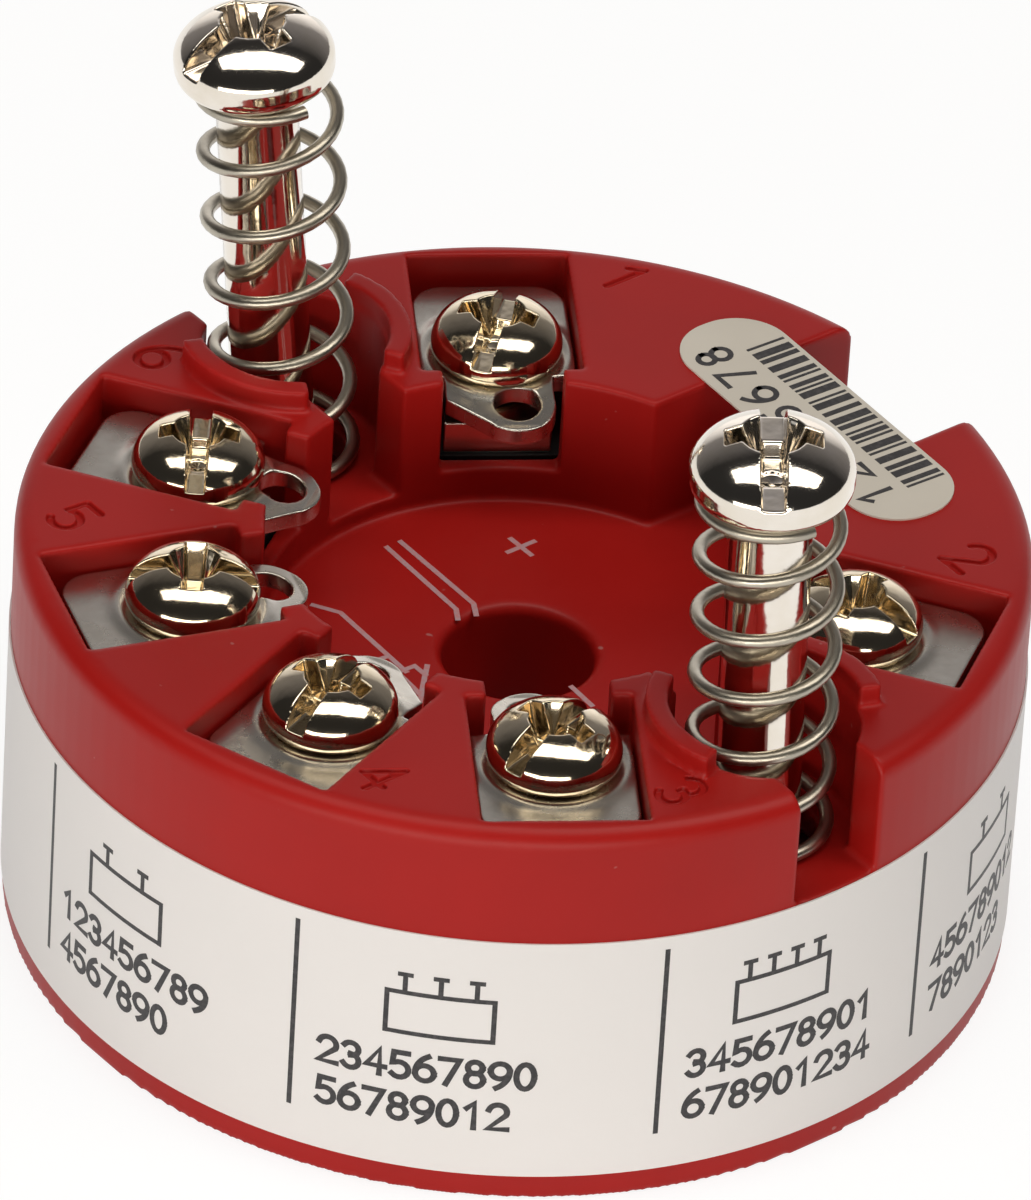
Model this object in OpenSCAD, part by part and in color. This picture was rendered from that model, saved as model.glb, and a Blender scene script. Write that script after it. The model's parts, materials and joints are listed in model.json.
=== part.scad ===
// Head-mounted temperature transmitter: a round moulded housing with six screw
// terminals about a wire well, and two captive sprung mounting screws.
// Millimetres. Origin at the middle of the mounting face, +Z up, screws on X, notch at +Y.

/* [Housing] */
// Radius of the housing's moulded wall
body_r = 21.9; // [21.6:0.1:22.6]
// Height of the flat top over the mounting face
body_h = 19.2; // [18.5:0.1:22]
// Rounding where the top meets the side
rim_round = 0.95; // [0.4:0.05:1.1]
// Thickness of the side wall below the deck
skirt_wall = 1.5; // [1:0.1:1.8]
// Depth of the round well below the top
well_depth = 6.5; // [6.2:0.1:7]
// Radius of the round well
well_r = 11.2; // [10.8:0.1:11.4]
// Thickness of the deck under the well
deck_t = 1.2; // [0.8:0.1:2]
// Radius of the centre bore for the sensor wires
bore_r = 3.3; // [2.5:0.1:4]
// Wall of the centre tube
tube_wall = 1; // [0.8:0.1:1.4]
// Rounding at the mouth of the centre bore
bore_round = 0.5; // [0.2:0.1:0.8]
// Width of the notch that lets the wires out
notch_w = 8.4; // [6:0.1:9]

/* [Terminal pockets] */
// Radius of the circle that the terminal screws stand on
terminal_circle_r = 14.95; // [14.8:0.05:15.2]
// Angle between neighbouring terminals
terminal_step = 38; // [37:0.5:39]
// Width of a pocket
pocket_w = 7.1; // [6.9:0.1:7.3]
// Least wall between a pocket and the outside
pocket_wall = 1.2; // [1.1:0.1:1.4]
// Width of a pocket's mouth to the well
mouth_w = 5.3; // [5:0.1:5.5]
// Thickness of the tabs beside a mouth
tab_t = 0.75; // [0.6:0.05:0.9]
// Height of the sill in a mouth over the well floor
sill_h = 1.7; // [1.2:0.1:1.9]

/* [Sprung screws] */
// Distance between the two mounting screws
screw_spacing = 33; // [32.6:0.1:33.4]
// Radius of the spring pocket
spring_pocket_r = 4.05; // [3.95:0.05:4.2]
// Width of the slot from a spring pocket to the outside
rim_slot_w = 4.3; // [3.5:0.1:5]
// Width of the neck from a spring pocket to the well
neck_w = 3.8; // [3:0.1:4.2]
// Height of the spring seat over the well floor
seat_rise = 0.9; // [0.5:0.1:1.2]
// Thickness of the spring seat
seat_t = 1.4; // [1:0.1:1.6]
// Radius of the hole in the spring seat
seat_hole_r = 2.55; // [2.5:0.05:2.7]
// Inner radius of the tube below the spring seat
screw_tube_r = 3.75; // [3.6:0.05:3.9]
// Wall of the tube below the spring seat
screw_tube_wall = 1; // [0.8:0.1:1.1]
// Height of the raised lips about a spring pocket
lip_h = 1; // [0.5:0.1:1.5]
// Distance from a spring pocket's edge to the outside of its raised lips
lip_t = 1.05; // [0.8:0.05:1.1]
// How far the lips stand back from the edge of the spring pocket
lip_step = 0.1; // [0.05:0.05:0.3]
// Radius of a mounting screw's head
mount_head_r = 3.5; // [3.4:0.05:3.6]
// Height of a mounting screw's head
mount_head_h = 3.1; // [2:0.1:3.5]
// Radius of a mounting screw's plain shank
mount_shank_r = 1.8; // [1.7:0.05:1.85]
// Radius of a mounting screw's thread
mount_thread_r = 2; // [1.9:0.05:2.1]
// Length of a mounting screw under its head
mount_length = 30; // [28:0.5:30.5]
// Height of the left screw's head over its spring seat
left_stand = 19.7; // [16:0.1:20]
// Height of the right screw's head over its spring seat
right_stand = 17.5; // [16:0.1:20]
// Lean of the left screw, which stands loose in its spring
left_lean = 4.8; // [0:0.1:5]
// Lean of the right screw
right_lean = 1.4; // [0:0.1:5]
// Outer radius of a spring
spring_r = 3.25; // [3.15:0.05:3.4]
// Diameter of the spring wire
spring_wire = 0.62; // [0.5:0.02:0.8]
// Turns of a spring
spring_turns = 6.2; // [5:0.1:8]
// Radius of a retaining ring
ring_r = 2.9; // [2.8:0.05:3]
// Thickness of a retaining ring
ring_t = 0.8; // [0.6:0.1:1]

/* [Terminals] */
// Width of a clamp plate
plate_w = 6.8; // [6.4:0.1:6.9]
// Thickness of a clamp plate
plate_t = 0.8; // [0.6:0.05:1]
// Opening between a clamp plate and its contact
wire_gap = 1.1; // [0.8:0.05:1.3]
// Distance from the middle to a clamp plate's outer edge
plate_out_x = 20.1; // [19.6:0.1:20.4]
// Radius of a clamp plate's outer corners
plate_corner_r = 1.5; // [0.5:0.1:2]
// Distance from the middle to a clamp plate's eyelet
eye_x = 11.3; // [11.2:0.1:11.8]
// Sideways place of the eyelet
eye_side = 0.65; // [0.5:0.05:0.8]
// Radius of the metal round the eyelet
eye_r = 1.7; // [1.5:0.05:1.8]
// Radius of the hole in the eyelet
eye_hole_r = 1.03; // [0.8:0.01:1.2]
// Width of a clamp plate where it passes through a pocket's mouth
nose_w = 4.9; // [4.6:0.1:5]
// Width of a contact
contact_w = 4.8; // [4.4:0.1:5]
// Thickness of a contact
contact_t = 1.65; // [1.3:0.05:1.8]
// Thickness of a contact's leg
leg_t = 0.6; // [0.5:0.05:0.7]
// Height of a contact's top over the well floor
contact_rise = 3.3; // [3.1:0.05:3.4]
// Radius of a terminal screw's head
head_r = 2.9; // [2.7:0.05:3.1]
// Height of a terminal screw's head
head_h = 2.4; // [1.8:0.1:2.6]
// Radius of a terminal screw's thread
thread_r = 1.5; // [1.4:0.05:1.55]
// Length of a terminal screw under its head
terminal_screw_length = 7; // [6:0.1:7.5]
// Outer radius of a threaded bush
bush_r = 2.3; // [2.1:0.05:2.5]

/* [Inside] */
// Thickness of the terminal carriers' ring
carrier_t = 2.2; // [1.8:0.1:2.6]
// Height of the circuit board's top over the mounting face
board_top_z = 7.6; // [7:0.1:7.9]
// Thickness of the circuit board
board_t = 1.6; // [0.8:0.1:2]
// Thickness of the base cover
cover_t = 1.5; // [1:0.1:2]
// How far the base cover lies above the mounting face
cover_recess = 0.2; // [0:0.05:0.4]

/* [Label] */
// Thickness of the label band
label_t = 0.1; // [0.05:0.01:0.3]
// Height of the label's lower edge
label_low_z = 1.2; // [0.8:0.1:2]
// Height of the label's upper edge
label_high_z = 13.55; // [12.8:0.05:13.55]
// Length of the barcode sticker
sticker_l = 16.6; // [14:0.1:17]
// Width of the barcode sticker
sticker_w = 5.1; // [4.8:0.1:5.2]
// Corner radius of the barcode sticker
sticker_corner_r = 2.4; // [0.5:0.1:2.4]
// Thickness of the barcode sticker
sticker_t = 0.1; // [0.05:0.01:0.2]

/* [Hidden] */
terminal_names = [for (i = [1:6]) str(i)];

$fn = 96;
// One overrun for every cut
overrun = 1;
// Running clearance of a screw in its hole
run_clear = 0.08;
// Clearance of a moulded or punched piece that drops into another
drop_clear = 0.25;
// Clearance of a pressed or snapped cover
snap_clear = 0.1;
// Plan direction that the loose screws lean towards
lean_direction = 230.2;
// Shift of the left screw in its hole, in the same direction
left_shift = 0.55;
// Shift of the left spring on its seat, in the same direction
left_spring_shift = 0.1;

well_floor_z = body_h - well_depth;
deck_under_z = well_floor_z - deck_t;
skirt_in_r = body_r - skirt_wall;
tube_out_r = bore_r + tube_wall;
pocket_in_x = well_r + tab_t;
pocket_out_x = body_r - pocket_wall;
sill_top_z = well_floor_z + sill_h;
screw_x = screw_spacing / 2;
seat_z = well_floor_z + seat_rise;
seat_under_z = seat_z - seat_t;
screw_tube_out_r = screw_tube_r + screw_tube_wall;

// Terminals 1 and 2 stand either side of the notch, 3 to 6 in a row opposite
terminal_angles = [90 + 1.5 * terminal_step, 90 - 1.5 * terminal_step,
                   -90 + 1.5 * terminal_step, -90 + 0.5 * terminal_step,
                   -90 - 0.5 * terminal_step, -90 - 1.5 * terminal_step];
// Plan direction of each terminal screw's long slot
slot_angles = [-52, 20, 104, 110, 50, -40];
left_slot_angle = 90;
right_slot_angle = -38;

contact_top_z = well_floor_z + contact_rise;
block_top_z = contact_top_z - contact_t;
plate_under_z = contact_top_z + wire_gap;
plate_top_z = plate_under_z + plate_t;
contact_front_x = pocket_in_x + plate_t / 2;
leg_w = 0.5 * contact_w;
hole_r = thread_r + run_clear;

block_w = pocket_w - 2 * drop_clear;
block_in_x = pocket_in_x + drop_clear;
block_out_x = pocket_out_x - drop_clear;
leg_out_x = block_out_x - 2 * leg_t;
carrier_under_z = deck_under_z - carrier_t;
rib_depth = skirt_wall;
rib_w = 2 * tube_wall;
rib_angles = [90, -90 + terminal_step, -90 - terminal_step];
carrier_out_r = skirt_in_r - rib_depth - drop_clear;
block_low_out_x = sqrt(pow(carrier_out_r, 2) - pow(block_w / 2, 2)) - snap_clear;

board_r = skirt_in_r - 2 * drop_clear;
board_under_z = board_top_z - board_t;
cover_top_z = cover_recess + cover_t;
post_r = rib_w / 2;
post_x = board_r - rib_w;
parts_room = board_under_z - cover_top_z;

label_notch_drop = label_t;
sticker_x = 0.6;
sticker_y = 15.5;
sticker_turn = -3;

// Slot and cross recess of the screw heads, as shares of the head
slot_w_share = 0.3;
slot_depth_share = 0.5;
cross_length_share = 1.3;
dome_share = 0.5;

module terminal(n) {
    rotate(terminal_angles[n - 1]) children();
}

module box_from(x0, x1, w, z0, z1) {
    translate([x0, -w / 2, z0]) cube([x1 - x0, w, z1 - z0]);
}

module tube_ring(r_out, r_in, z0, z1) {
    difference() {
        translate([0, 0, z0]) cylinder(r = r_out, h = z1 - z0);
        translate([0, 0, z0 - overrun]) cylinder(r = r_in, h = z1 - z0 + 2 * overrun);
    }
}

// Outer form of the housing, with its rounded rim
module housing_blank() {
    rotate_extrude() union() {
        square([body_r - rim_round, body_h]);
        square([body_r, body_h - rim_round]);
        translate([body_r - rim_round, body_h - rim_round]) circle(r = rim_round);
    }
}

// A pair of raised lips about the spring pocket on the +X side
lip_start = 30;
lip_end = 112;
module lips() {
    for (a = [180 - lip_end, 180 + lip_start])
        translate([screw_x, 0, body_h - lip_h]) rotate(a) rotate_extrude(angle = lip_end - lip_start)
            translate([spring_pocket_r + lip_step, 0]) square([lip_t - lip_step, 2 * lip_h]);
}

// Everything about one mounting screw that is cut from the housing, on the +X side
module screw_channel() {
    translate([screw_x, 0, seat_z]) cylinder(r = spring_pocket_r, h = body_h);
    box_from(screw_x, body_r + overrun, rim_slot_w, seat_z, body_h + lip_h + overrun);
    box_from(well_r - overrun, screw_x, neck_w, seat_z, body_h + lip_h + overrun);
    translate([screw_x, 0, -overrun]) cylinder(r = screw_tube_r, h = seat_under_z + overrun);
    translate([screw_x, 0, 0]) cylinder(r = seat_hole_r, h = body_h);
}

// One terminal pocket, open above, open to the well over its sill, and open below
module pocket() {
    box_from(pocket_in_x, pocket_out_x, pocket_w, deck_under_z - overrun, body_h + overrun);
    box_from(bore_r, pocket_in_x + tab_t, mouth_w, sill_top_z, body_h + overrun);
}

// Rounded mouth of the centre bore
module bore_mouth() {
    translate([0, 0, well_floor_z]) rotate_extrude() difference() {
        translate([0, -bore_round]) square([bore_r + bore_round, bore_round + overrun]);
        translate([bore_r + bore_round, -bore_round]) circle(r = bore_round, $fn = 32);
    }
}

module housing() {
    color("firebrick") difference() {
        union() {
            difference() {
                housing_blank();
                translate([0, 0, -overrun]) cylinder(r = skirt_in_r, h = deck_under_z + overrun);
            }
            cylinder(r = tube_out_r, h = well_floor_z);
            for (side = [0, 180]) rotate(side) {
                translate([screw_x, 0, 0]) cylinder(r = screw_tube_out_r, h = seat_z);
                lips();
            }
            for (a = rib_angles) rotate(a)
                box_from(skirt_in_r - rib_depth, skirt_in_r + skirt_wall / 2, rib_w, board_top_z,
                         deck_under_z + deck_t / 2);
        }
        translate([0, 0, well_floor_z]) cylinder(r = well_r, h = body_h);
        translate([-notch_w / 2, 0, well_floor_z]) cube([notch_w, body_r + overrun, body_h]);
        translate([0, 0, -overrun]) cylinder(r = bore_r, h = body_h);
        bore_mouth();
        for (n = [1:6]) terminal(n) pocket();
        for (side = [0, 180]) rotate(side) screw_channel();
    }
}

// Ring and blocks that hold the bushes of the terminals numbered first to last
module carrier(first, last, from_angle, to_angle) {
    difference() {
        union() {
            rotate(from_angle) rotate_extrude(angle = to_angle - from_angle)
                translate([block_in_x, carrier_under_z])
                square([carrier_out_r - block_in_x, carrier_t]);
            for (n = [first:last]) terminal(n) {
                box_from(block_in_x, block_low_out_x, block_w, carrier_under_z, block_top_z);
                box_from(block_in_x, block_out_x, block_w, deck_under_z, block_top_z);
            }
        }
        for (n = [first:last]) terminal(n) {
            translate([terminal_circle_r, 0, carrier_under_z - overrun])
                cylinder(r = bush_r, h = block_top_z - carrier_under_z + 2 * overrun);
            box_from(leg_out_x - leg_t - snap_clear, leg_out_x + snap_clear, leg_w + 2 * snap_clear,
                     carrier_under_z - overrun, block_top_z + overrun);
        }
        for (side = [0, 180]) rotate(side) translate([screw_x, 0, carrier_under_z - overrun])
            cylinder(r = screw_tube_out_r + drop_clear, h = body_h);
    }
}

module carrier_pair() {
    color("dimgray") carrier(1, 2, terminal_angles[1], terminal_angles[0]);
}

module carrier_row() {
    color("dimgray") carrier(3, 6, terminal_angles[5], terminal_angles[2]);
}

module circuit_board() {
    color("darkgreen") difference() {
        translate([0, 0, board_under_z]) cylinder(r = board_r, h = board_t);
        cylinder(r = tube_out_r + drop_clear, h = body_h);
        for (side = [0, 180]) rotate(side) translate([screw_x, 0, 0])
            cylinder(r = screw_tube_out_r + drop_clear, h = body_h);
    }
}

module base_cover() {
    color("darkred") {
        difference() {
            translate([0, 0, cover_recess]) cylinder(r = skirt_in_r - snap_clear, h = cover_t);
            translate([0, 0, -overrun]) cylinder(r = tube_out_r + snap_clear, h = body_h);
            for (side = [0, 180]) rotate(side) translate([screw_x, 0, -overrun])
                cylinder(r = screw_tube_out_r + snap_clear, h = body_h);
        }
        for (a = rib_angles) rotate(a) translate([post_x, 0, cover_recess])
            cylinder(r = post_r, h = board_under_z - cover_recess);
    }
}

module label_band() {
    color("whitesmoke") difference() {
        tube_ring(body_r + label_t, body_r, label_low_z, label_high_z);
        translate([-notch_w / 2 - label_t, 0, well_floor_z - label_notch_drop])
            cube([notch_w + 2 * label_t, body_r + overrun, body_h]);
    }
}

module barcode_sticker() {
    corner_x = sticker_l / 2 - sticker_corner_r;
    corner_y = sticker_w / 2 - sticker_corner_r;
    color("ivory") translate([sticker_x, sticker_y, body_h]) rotate(sticker_turn)
        linear_extrude(height = sticker_t) {
            square([sticker_l, 2 * corner_y], center = true);
            square([2 * corner_x, sticker_w], center = true);
            for (x = [-1, 1], y = [-1, 1])
                translate([x * corner_x, y * corner_y]) circle(r = sticker_corner_r, $fn = 32);
        }
}

// Parts soldered under the board: places and sizes are shares of the board's radius
module under_board(place_share, size_share, height_share) {
    h = height_share * parts_room;
    translate([place_share[0] * board_r - size_share[0] * board_r / 2,
               place_share[1] * board_r - size_share[1] * board_r / 2, board_under_z - h])
        cube([size_share[0] * board_r, size_share[1] * board_r, h]);
}

transformer_place_share = [0, -0.55];
transformer_size_share = [0.45, 0.4];
chip_place_share = [0.425, 0.425];
controller_size_share = [0.35, 0.35];
converter_size_share = [0.26, 0.2];
capacitor_x_shares = [-0.625, -0.425, 0.425, 0.625];
capacitor_y_share = -0.375;
capacitor_r_share = 0.075;
resistor_y_share = 0.68;
resistor_step_share = 0.14;
resistor_size_share = [0.08, 0.04];

module transformer() {
    color("goldenrod") under_board(transformer_place_share, transformer_size_share, 0.85);
}

module controller_chip() {
    color("black") under_board([-chip_place_share[0], chip_place_share[1]], controller_size_share, 0.25);
}

module converter_chip() {
    color("black") under_board(chip_place_share, converter_size_share, 0.35);
}

module capacitors() {
    h = 0.7 * parts_room;
    color("silver") for (x = capacitor_x_shares)
        translate([x * board_r, capacitor_y_share * board_r, board_under_z - h])
            cylinder(r = capacitor_r_share * board_r, h = h, $fn = 32);
}

module resistors() {
    color("black") for (k = [-2:2])
        under_board([k * resistor_step_share, resistor_y_share], resistor_size_share, 0.12);
}

// Fixed contact: a flat tongue under the clamp plate, and a leg down to the board
module contact(n) {
    color("silver") terminal(n) difference() {
        union() {
            box_from(contact_front_x, leg_out_x, contact_w, block_top_z, contact_top_z);
            box_from(leg_out_x - leg_t, leg_out_x, leg_w, board_top_z, contact_top_z);
        }
        translate([terminal_circle_r, 0, block_top_z - overrun])
            cylinder(r = hole_r, h = contact_t + 2 * overrun);
    }
}

module threaded_bush(n) {
    color("gold") terminal(n) translate([terminal_circle_r, 0, 0])
        tube_ring(bush_r, hole_r, carrier_under_z, block_top_z);
}

// Clamp plate: square outside with round corners, drawn in to a nose with an eyelet
module clamp_plate(n) {
    corner_x = plate_out_x - plate_corner_r;
    corner_y = plate_w / 2 - plate_corner_r;
    shoulder_x = pocket_in_x + 1.5 * tab_t;
    nose_x = eye_x + drop_clear;
    rim_r = 0.98 * eye_r;
    to_eye_y = nose_w / 2 + eye_side;
    to_eye = sqrt(pow(nose_x - eye_x, 2) + pow(to_eye_y, 2));
    touch = atan2(to_eye_y, nose_x - eye_x) + acos(rim_r / to_eye);
    color("lightgray") terminal(n) translate([0, 0, plate_under_z]) difference() {
        linear_extrude(height = plate_t) {
            translate([shoulder_x, -plate_w / 2]) square([corner_x - shoulder_x, plate_w]);
            translate([shoulder_x, -corner_y]) square([plate_out_x - shoulder_x, 2 * corner_y]);
            for (y = [-1, 1]) translate([corner_x, y * corner_y]) circle(r = plate_corner_r, $fn = 32);
            translate([eye_x, -eye_side]) circle(r = eye_r, $fn = 48);
            polygon([[corner_x, nose_w / 2], [nose_x, nose_w / 2],
                     [eye_x + rim_r * cos(touch), -eye_side + rim_r * sin(touch)],
                     [eye_x, -eye_side], [eye_x, -eye_side - rim_r], [corner_x, -eye_side - rim_r]]);
        }
        translate([eye_x, -eye_side, -overrun]) cylinder(r = eye_hole_r, h = plate_t + 2 * overrun, $fn = 32);
        translate([terminal_circle_r, 0, -overrun]) cylinder(r = hole_r, h = plate_t + 2 * overrun);
    }
}

// Head of a screw standing on z = 0, domed, with a long slot and a shorter cross arm
module screw_head(r, h) {
    dome_h = dome_share * h;
    dome_r = (r * r + dome_h * dome_h) / (2 * dome_h);
    slot_w = slot_w_share * r;
    slot_depth = slot_depth_share * h;
    difference() {
        rotate_extrude() intersection() {
            square([r, h]);
            translate([0, h - dome_r]) circle(r = dome_r, $fn = 180);
        }
        translate([-r - overrun, -slot_w / 2, h - slot_depth]) cube([2 * (r + overrun), slot_w, h]);
        translate([-slot_w / 2, -cross_length_share * r / 2, h - slot_depth])
            cube([slot_w, cross_length_share * r, h]);
    }
}

module terminal_screw(n) {
    color("wheat") terminal(n) translate([terminal_circle_r, 0, plate_top_z]) {
        rotate(slot_angles[n - 1] - terminal_angles[n - 1]) screw_head(head_r, head_h);
        translate([0, 0, -terminal_screw_length]) cylinder(r = thread_r, h = terminal_screw_length);
    }
}

// Place of a mounting screw's axis: it leans about the middle of its hole in the spring seat
pivot_z = seat_z - seat_t / 2;
ring_top = seat_t / 2 + 2 * drop_clear;
module leaning(side, lean, shift) {
    translate([side * screw_x + shift * cos(lean_direction), shift * sin(lean_direction), pivot_z])
        rotate(lean_direction) rotate([0, lean, 0]) children();
}

// The plain shank reaches from the head to the ring that stops the higher screw
shank_l = max(left_stand, right_stand) + seat_t / 2 + ring_top + ring_t + snap_clear;
module mounting_screw(side, lean, shift, stand, slot_angle) {
    head_z = stand + seat_t / 2;
    thread_top = head_z - shank_l;
    tip = head_z - mount_length;
    color("silver") leaning(side, lean, shift) {
        translate([0, 0, head_z]) rotate(slot_angle - lean_direction) screw_head(mount_head_r, mount_head_h);
        translate([0, 0, thread_top]) cylinder(r = mount_shank_r, h = shank_l);
        translate([0, 0, tip]) cylinder(r = mount_thread_r, h = thread_top - tip);
    }
}

module retaining_ring(side, lean, shift) {
    color("gray") leaning(side, lean, shift)
        tube_ring(ring_r, mount_shank_r + run_clear, -ring_top - ring_t, -ring_top);
}

// Spring: its turns lie flat on the seat and tilt gradually with the screw towards the head
spring_rings = 8;
spring_sides = 6;
spring_ease = 0.35;
spring_mid_r = spring_r - spring_wire / 2;
spring_level_turns = spring_turns - 2 * spring_ease;
spring_front = -39.8;
spring_start = spring_front - 36;

// Share of a spring's rise after t turns: level at both ends, with full pitch between
function climb_share(t) = t < 2 * spring_ease ? t * t / (4 * spring_ease * spring_level_turns)
    : t > spring_level_turns ? 1 - pow(spring_turns - t, 2) / (4 * spring_ease * spring_level_turns)
    : (t - spring_ease) / spring_level_turns;
function turn_z(p, a) = [p[0] * cos(a) - p[1] * sin(a), p[0] * sin(a) + p[1] * cos(a), p[2]];
function turn_y(p, a) = [p[0] * cos(a) + p[2] * sin(a), p[1], p[2] * cos(a) - p[0] * sin(a)];
function tilt(p, a) = turn_z(turn_y(turn_z(p, -lean_direction), a), lean_direction);

// A point of the wire about its centre line, where u goes outwards and v upwards
function spring_point(t, u, v, lean, stand) =
    let (s = climb_share(t), a = spring_start + 360 * t,
         along = s * (stand - spring_wire) + spring_wire / 2, w = tilt([0, 0, 1], lean) * along)
    w + tilt([(spring_mid_r + u) * cos(a), (spring_mid_r + u) * sin(a), v], lean * s);

spring_steps = ceil(spring_turns * spring_rings);
spring_stub_turn = spring_wire / (2 * PI * spring_mid_r);
spring_times = concat([0, spring_stub_turn],
    [for (k = [1:spring_steps - 1]) spring_turns * k / spring_steps],
    [spring_turns - spring_stub_turn, spring_turns]);

module spring(side, lean, shift, stand) {
    count = len(spring_times);
    points = [for (t = spring_times, k = [0:spring_sides - 1])
        spring_point(t, spring_wire / 2 * cos(360 * k / spring_sides),
                     spring_wire / 2 * sin(360 * k / spring_sides), lean, stand)];
    walls = [for (i = [0:count - 2], k = [0:spring_sides - 1])
        let (a = i * spring_sides + k, b = i * spring_sides + (k + 1) % spring_sides)
        each [[a, a + spring_sides, b], [b, a + spring_sides, b + spring_sides]]];
    start_cap = [for (k = [1:spring_sides - 2]) [0, k, k + 1]];
    last = (count - 1) * spring_sides;
    end_cap = [for (k = [1:spring_sides - 2]) [last, last + k + 1, last + k]];
    color("silver")
        translate([side * screw_x + shift * cos(lean_direction), shift * sin(lean_direction), seat_z])
        polyhedron(points = points, faces = concat(walls, start_cap, end_cap));
}

// Least gap between one turn of the wire and the next, in the spring that is pressed further
low_stand = min(left_stand, right_stand);
function mid_point(t) = spring_point(t, 0, 0, left_lean, low_stand);
spring_gap = min([for (t = spring_times, s = spring_times) if (s - t > 0.5)
    norm(mid_point(t) - mid_point(s)) - spring_wire]);
echo(spring_gap = spring_gap);

housing();
carrier_pair();
carrier_row();
circuit_board();
base_cover();
label_band();
barcode_sticker();
transformer();
controller_chip();
converter_chip();
capacitors();
resistors();
for (n = [1:6]) {
    contact(n);
    threaded_bush(n);
    clamp_plate(n);
    terminal_screw(n);
}
mounting_screw(-1, left_lean, left_shift, left_stand, left_slot_angle);  // mounting_screw_left
mounting_screw(1, right_lean, 0, right_stand, right_slot_angle);  // mounting_screw_right
spring(-1, left_lean, left_spring_shift, left_stand);  // spring_left
spring(1, right_lean, 0, right_stand);  // spring_right
retaining_ring(-1, left_lean, left_shift);  // retaining_ring_left
retaining_ring(1, right_lean, 0);  // retaining_ring_right
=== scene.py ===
"""Head-mounted temperature transmitter: moulded housing, label, plated screws and springs, lit on white."""

import json
from math import cos, pi, radians, sin

import bmesh
import bpy
import numpy as np
from mathutils import Matrix, Vector


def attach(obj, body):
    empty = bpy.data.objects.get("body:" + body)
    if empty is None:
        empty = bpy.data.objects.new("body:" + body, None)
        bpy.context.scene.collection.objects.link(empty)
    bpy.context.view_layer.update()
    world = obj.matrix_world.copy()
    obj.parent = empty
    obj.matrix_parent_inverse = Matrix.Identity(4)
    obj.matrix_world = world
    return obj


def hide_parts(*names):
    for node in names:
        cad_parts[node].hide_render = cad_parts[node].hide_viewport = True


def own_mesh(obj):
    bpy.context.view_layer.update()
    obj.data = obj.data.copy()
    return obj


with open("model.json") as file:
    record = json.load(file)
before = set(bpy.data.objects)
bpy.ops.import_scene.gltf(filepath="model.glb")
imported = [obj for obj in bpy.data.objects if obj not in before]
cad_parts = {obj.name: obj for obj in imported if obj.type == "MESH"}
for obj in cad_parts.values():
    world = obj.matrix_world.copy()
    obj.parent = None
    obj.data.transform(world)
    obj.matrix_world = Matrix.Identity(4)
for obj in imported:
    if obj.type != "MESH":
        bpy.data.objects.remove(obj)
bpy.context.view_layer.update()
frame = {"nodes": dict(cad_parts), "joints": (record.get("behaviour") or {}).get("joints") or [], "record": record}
nodes = frame["nodes"]
joints = {joint["name"]: joint for joint in frame["joints"]}
mm = 0.001

# The camera stands in front of terminals 3 and 4, rolled a little to the left, with a long lens.
# It looks at a point on the housing's axis, just above its middle.
orbit = radians(50.2)
height_angle = radians(35.895)
roll = radians(3.546)
distance = 600 * mm
aim = Vector((-0.246 * cos(orbit), -0.246 * sin(orbit), 15.389)) * mm
back = Vector((sin(orbit) * cos(height_angle), -cos(orbit) * cos(height_angle), sin(height_angle)))
level = (-back).cross(Vector((0, 0, 1))).normalized()
upright = level.cross(-back)
right = level * cos(roll) + upright * sin(roll)
up = upright * cos(roll) - level * sin(roll)
camera = bpy.data.objects.new("camera", bpy.data.cameras.new("camera"))
camera.data.lens = 418.4
camera.data.sensor_width = 36
camera.data.clip_start = 10 * mm
facing = Matrix((right, up, back)).transposed().to_4x4()
camera.matrix_world = Matrix.Translation(aim + back * distance) @ facing
bpy.context.collection.objects.link(camera)
bpy.context.scene.camera = camera
bpy.context.scene.view_settings.view_transform = "Standard"


# The studio: a white sweep under and behind the object, a long soft box over it and a low one before it.
# The floor keeps a soft shadow. Metal mirrors the bright sweep behind and the dark room round the camera.
def new_material(name):
    material = bpy.data.materials.new(name)
    material.use_nodes = True
    tree = material.node_tree
    tree.nodes.clear()
    output = tree.nodes.new("ShaderNodeOutputMaterial")
    return material, tree, output


floor_size = 3.0
floor_grey = 0.88
floor_glow = 0.75
floor_mesh = bpy.data.meshes.new("studio_floor")
half = floor_size / 2
floor_z = -0.02 * mm
floor_corners = [(-half, -half, floor_z), (half, -half, floor_z),
                 (half, half, floor_z), (-half, half, floor_z)]
floor_mesh.from_pydata(floor_corners, [], [(0, 1, 2, 3)])
floor = bpy.data.objects.new("studio_floor", floor_mesh)
bpy.context.collection.objects.link(floor)
floor_paint, tree, output = new_material("studio_sweep")
path = tree.nodes.new("ShaderNodeLightPath")
seen = tree.nodes.new("ShaderNodeMath")
seen.operation = "MAXIMUM"
tree.links.new(path.outputs["Is Camera Ray"], seen.inputs[0])
tree.links.new(path.outputs["Is Glossy Ray"], seen.inputs[1])
seen_through = tree.nodes.new("ShaderNodeMath")
seen_through.operation = "MAXIMUM"
tree.links.new(seen.outputs[0], seen_through.inputs[0])
tree.links.new(path.outputs["Is Transmission Ray"], seen_through.inputs[1])
glow_share = tree.nodes.new("ShaderNodeMath")
glow_share.operation = "MULTIPLY"
glow_share.inputs[1].default_value = floor_glow
tree.links.new(seen_through.outputs[0], glow_share.inputs[0])
matt = tree.nodes.new("ShaderNodeBsdfDiffuse")
matt.inputs["Color"].default_value = (floor_grey, floor_grey, floor_grey, 1)
glow = tree.nodes.new("ShaderNodeEmission")
glow.inputs["Color"].default_value = (1, 1, 1, 1)
glow.inputs["Strength"].default_value = 1.12
mix = tree.nodes.new("ShaderNodeMixShader")
tree.links.new(glow_share.outputs[0], mix.inputs["Fac"])
tree.links.new(matt.outputs[0], mix.inputs[1])
tree.links.new(glow.outputs[0], mix.inputs[2])
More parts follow.
